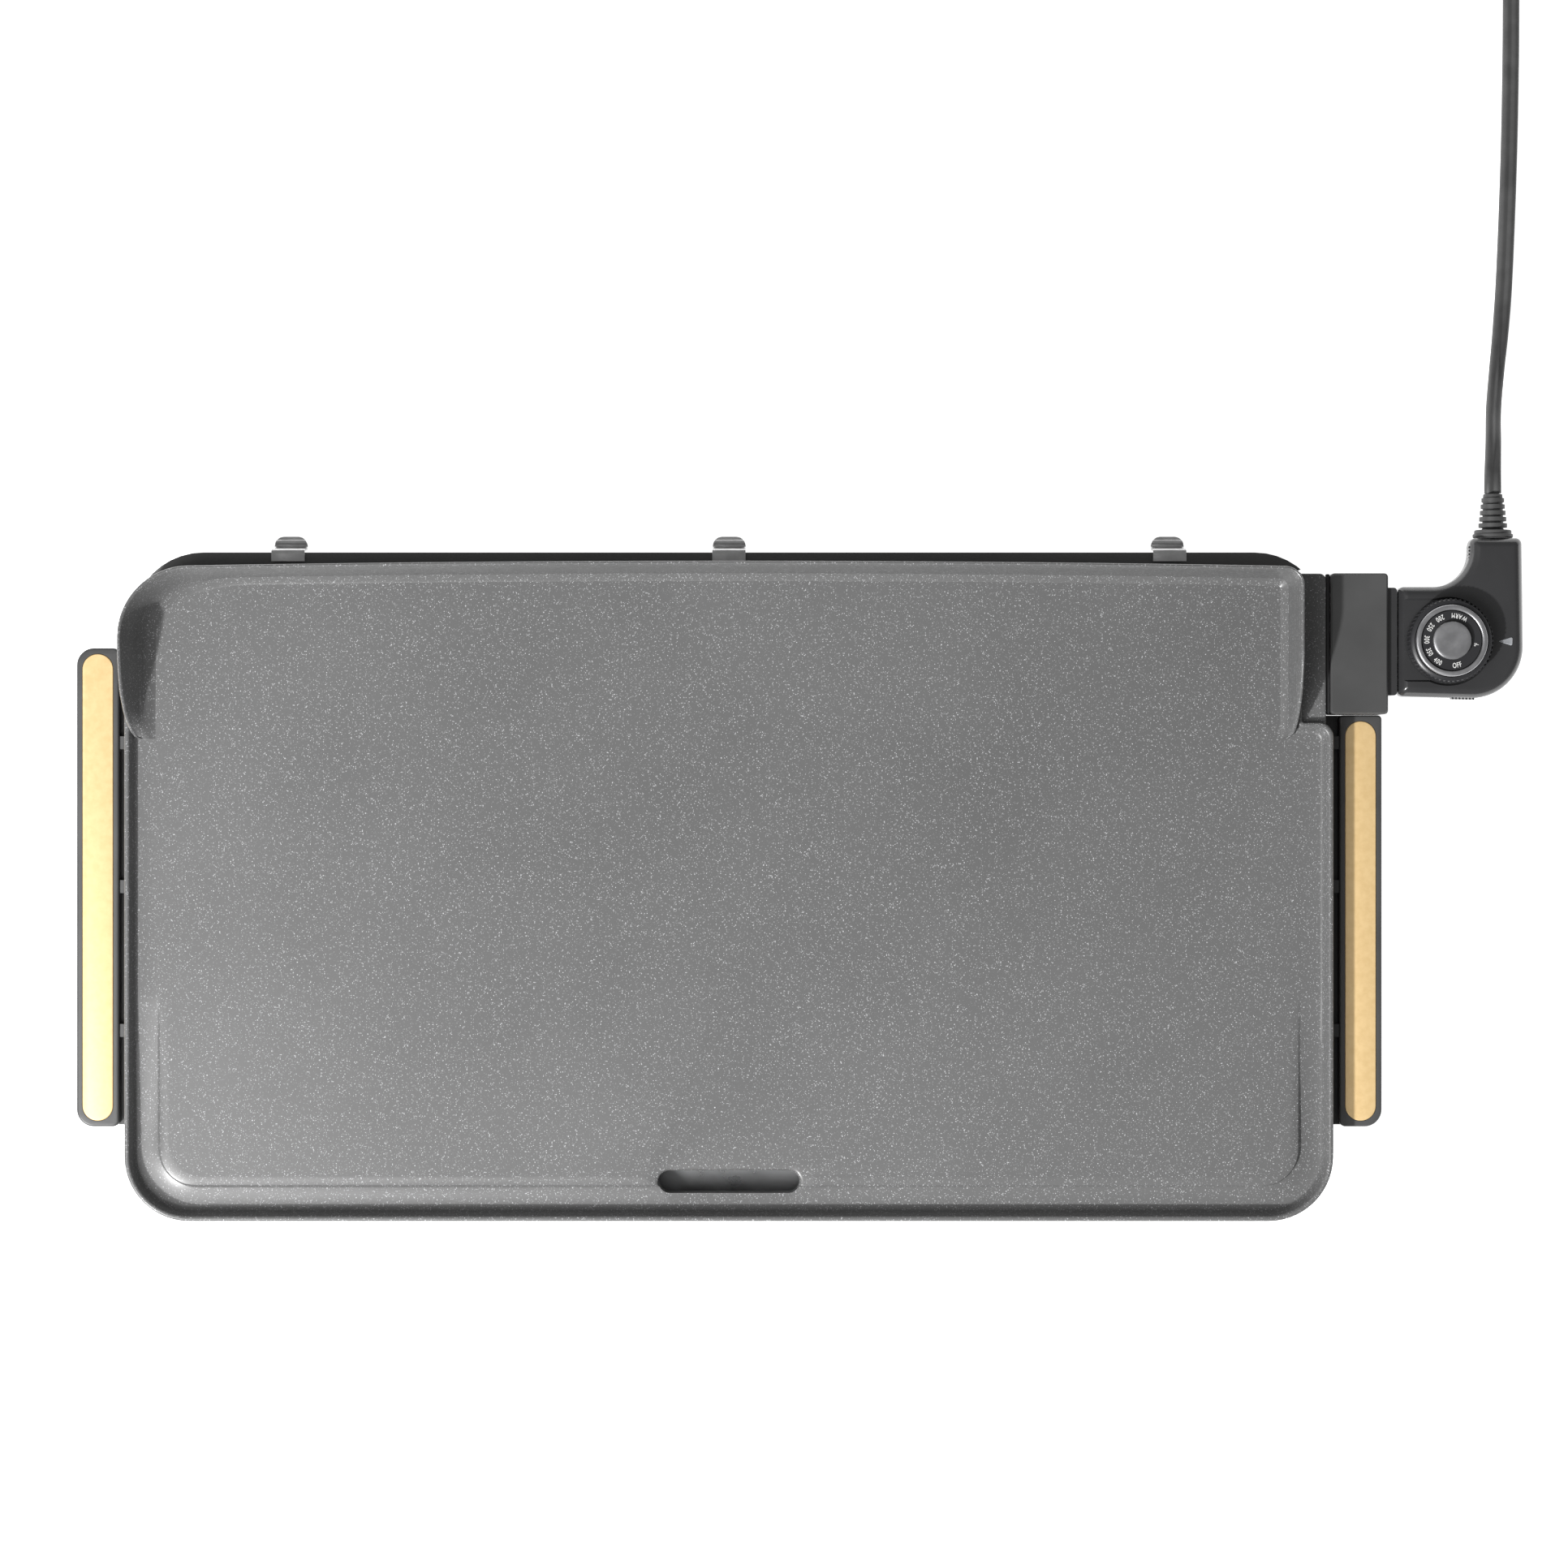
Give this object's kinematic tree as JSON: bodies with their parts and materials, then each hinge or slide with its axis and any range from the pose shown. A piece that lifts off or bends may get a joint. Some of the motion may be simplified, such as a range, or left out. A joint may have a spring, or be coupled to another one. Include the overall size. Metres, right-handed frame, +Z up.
{
  "type": "electric griddle",
  "caption": "Wide electric griddle: cast plate with rear splash wall and grease slot on a plastic base, gold-inlaid side handles, sprung clips and a plug-in dial thermostat on a mains cord.",
  "frame": {"origin": "on the table under the middle of the object's footprint, cord left out", "axes": "+X to the right, towards the thermostat controller; +Y to the rear, towards the splash wall; +Z up"},
  "size_m": [0.6858, 0.697, 0.088],
  "materials": {
    "nonstick_coat": "dark grey nonstick coating with fine light speckles on cast aluminium",
    "base_plastic": "fine-textured dark grey heat-resistant plastic",
    "handle_plastic": "satin dark grey phenolic plastic",
    "gold_inlay": "satin champagne gold metallic",
    "shield_sheet": "plain bright sheet",
    "element_sheath": "dull heat-stained tube",
    "ceramic_block": "unglazed off-white ceramic",
    "contact_metal": "plated brass",
    "fastener_steel": "zinc-plated steel",
    "spring_steel": "satin spring steel strip",
    "controller_plastic": "semi-gloss black plastic",
    "dial_print": "black with light grey printed dial figures",
    "bright_trim": "satin silver plating",
    "lens_clear": "unlit grey translucent plastic",
    "cord_rubber": "satin black flexible vinyl",
    "foot_rubber": "matte black rubber"
  },
  "bodies": {
    "base": {"base_frame": "base_plastic", "heat_shield": "shield_sheet", "left_handle": "handle_plastic", "left_handle_insert": "gold_inlay", "right_handle": "handle_plastic", "right_handle_insert": "gold_inlay", "leg_front_left": "base_plastic", "leg_front_right": "base_plastic", "leg_rear_left": "base_plastic", "leg_rear_right": "base_plastic", "foot_pad_front_left": "foot_rubber", "foot_pad_front_right": "foot_rubber", "foot_pad_rear_left": "foot_rubber", "foot_pad_rear_right": "foot_rubber", "tray_rail_left": "shield_sheet", "tray_rail_right": "shield_sheet"},
    "plate": {"griddle_plate": "nonstick_coat", "heating_element": "element_sheath", "element_strap_1": "fastener_steel", "element_strap_2": "fastener_steel", "element_strap_3": "fastener_steel", "element_strap_4": "fastener_steel", "terminal_pin_front": "contact_metal", "terminal_pin_rear": "contact_metal", "terminal_insulator": "ceramic_block", "socket_housing": "handle_plastic", "housing_screw_front": "fastener_steel", "housing_screw_rear": "fastener_steel"},
    "controller": {"controller_lower_casing": "controller_plastic", "controller_upper_casing": "controller_plastic", "controller_nose": "controller_plastic", "contact_sleeve_front": "contact_metal", "contact_sleeve_rear": "contact_metal", "probe_rod": "fastener_steel", "thermostat_body": "fastener_steel", "pilot_lamp": "lens_clear", "indicator_lens": "lens_clear", "casing_screw_front": "fastener_steel", "casing_screw_rear": "fastener_steel", "strain_relief": "cord_rubber", "power_cord": "cord_rubber", "cord_coil": "cord_rubber", "plug_body": "cord_rubber", "plug_blade_left": "contact_metal", "plug_blade_right": "contact_metal"},
    "dial": {"dial_knob": "controller_plastic", "dial_ring": "bright_trim", "dial_face": "dial_print", "dial_cap": "bright_trim", "dial_shaft": "fastener_steel"},
    "tray": {"drip_tray": "shield_sheet"},
    "clip_left": {"rear_clip_left": "spring_steel"},
    "clip_middle": {"rear_clip_middle": "spring_steel"},
    "clip_right": {"rear_clip_right": "spring_steel"}
  },
  "joints": [
    {"name": "plate_lift", "type": "slide", "parent": "base", "child": "plate", "axis": [0, 0, 1], "range_m": [0, 0.05]},
    {"name": "controller_pull", "type": "slide", "parent": "plate", "child": "controller", "axis": [1, 0, 0], "range_m": [0, 0.1]},
    {"name": "dial_turn", "type": "hinge", "parent": "controller", "child": "dial", "pos_m": [0.3004, 0.1094, 0.0644], "axis": [0, 0, 1], "range_deg": [-232, 78]},
    {"name": "drip_tray_slide", "type": "slide", "parent": "base", "child": "tray", "axis": [0, -1, 0], "range_m": [0, 0.06]},
    {"name": "clip_left_release", "type": "hinge", "parent": "base", "child": "clip_left", "pos_m": [-0.2364, 0.152, 0.05], "axis": [-1, 0, 0], "range_deg": [0, 15], "stiffness_Nm_per_rad": 0.4},
    {"name": "clip_middle_release", "type": "hinge", "parent": "base", "child": "clip_middle", "pos_m": [-0.0324, 0.152, 0.05], "axis": [-1, 0, 0], "range_deg": [0, 15], "stiffness_Nm_per_rad": 0.4},
    {"name": "clip_right_release", "type": "hinge", "parent": "base", "child": "clip_right", "pos_m": [0.1716, 0.152, 0.05], "axis": [-1, 0, 0], "range_deg": [0, 15], "stiffness_Nm_per_rad": 0.4}
  ]
}
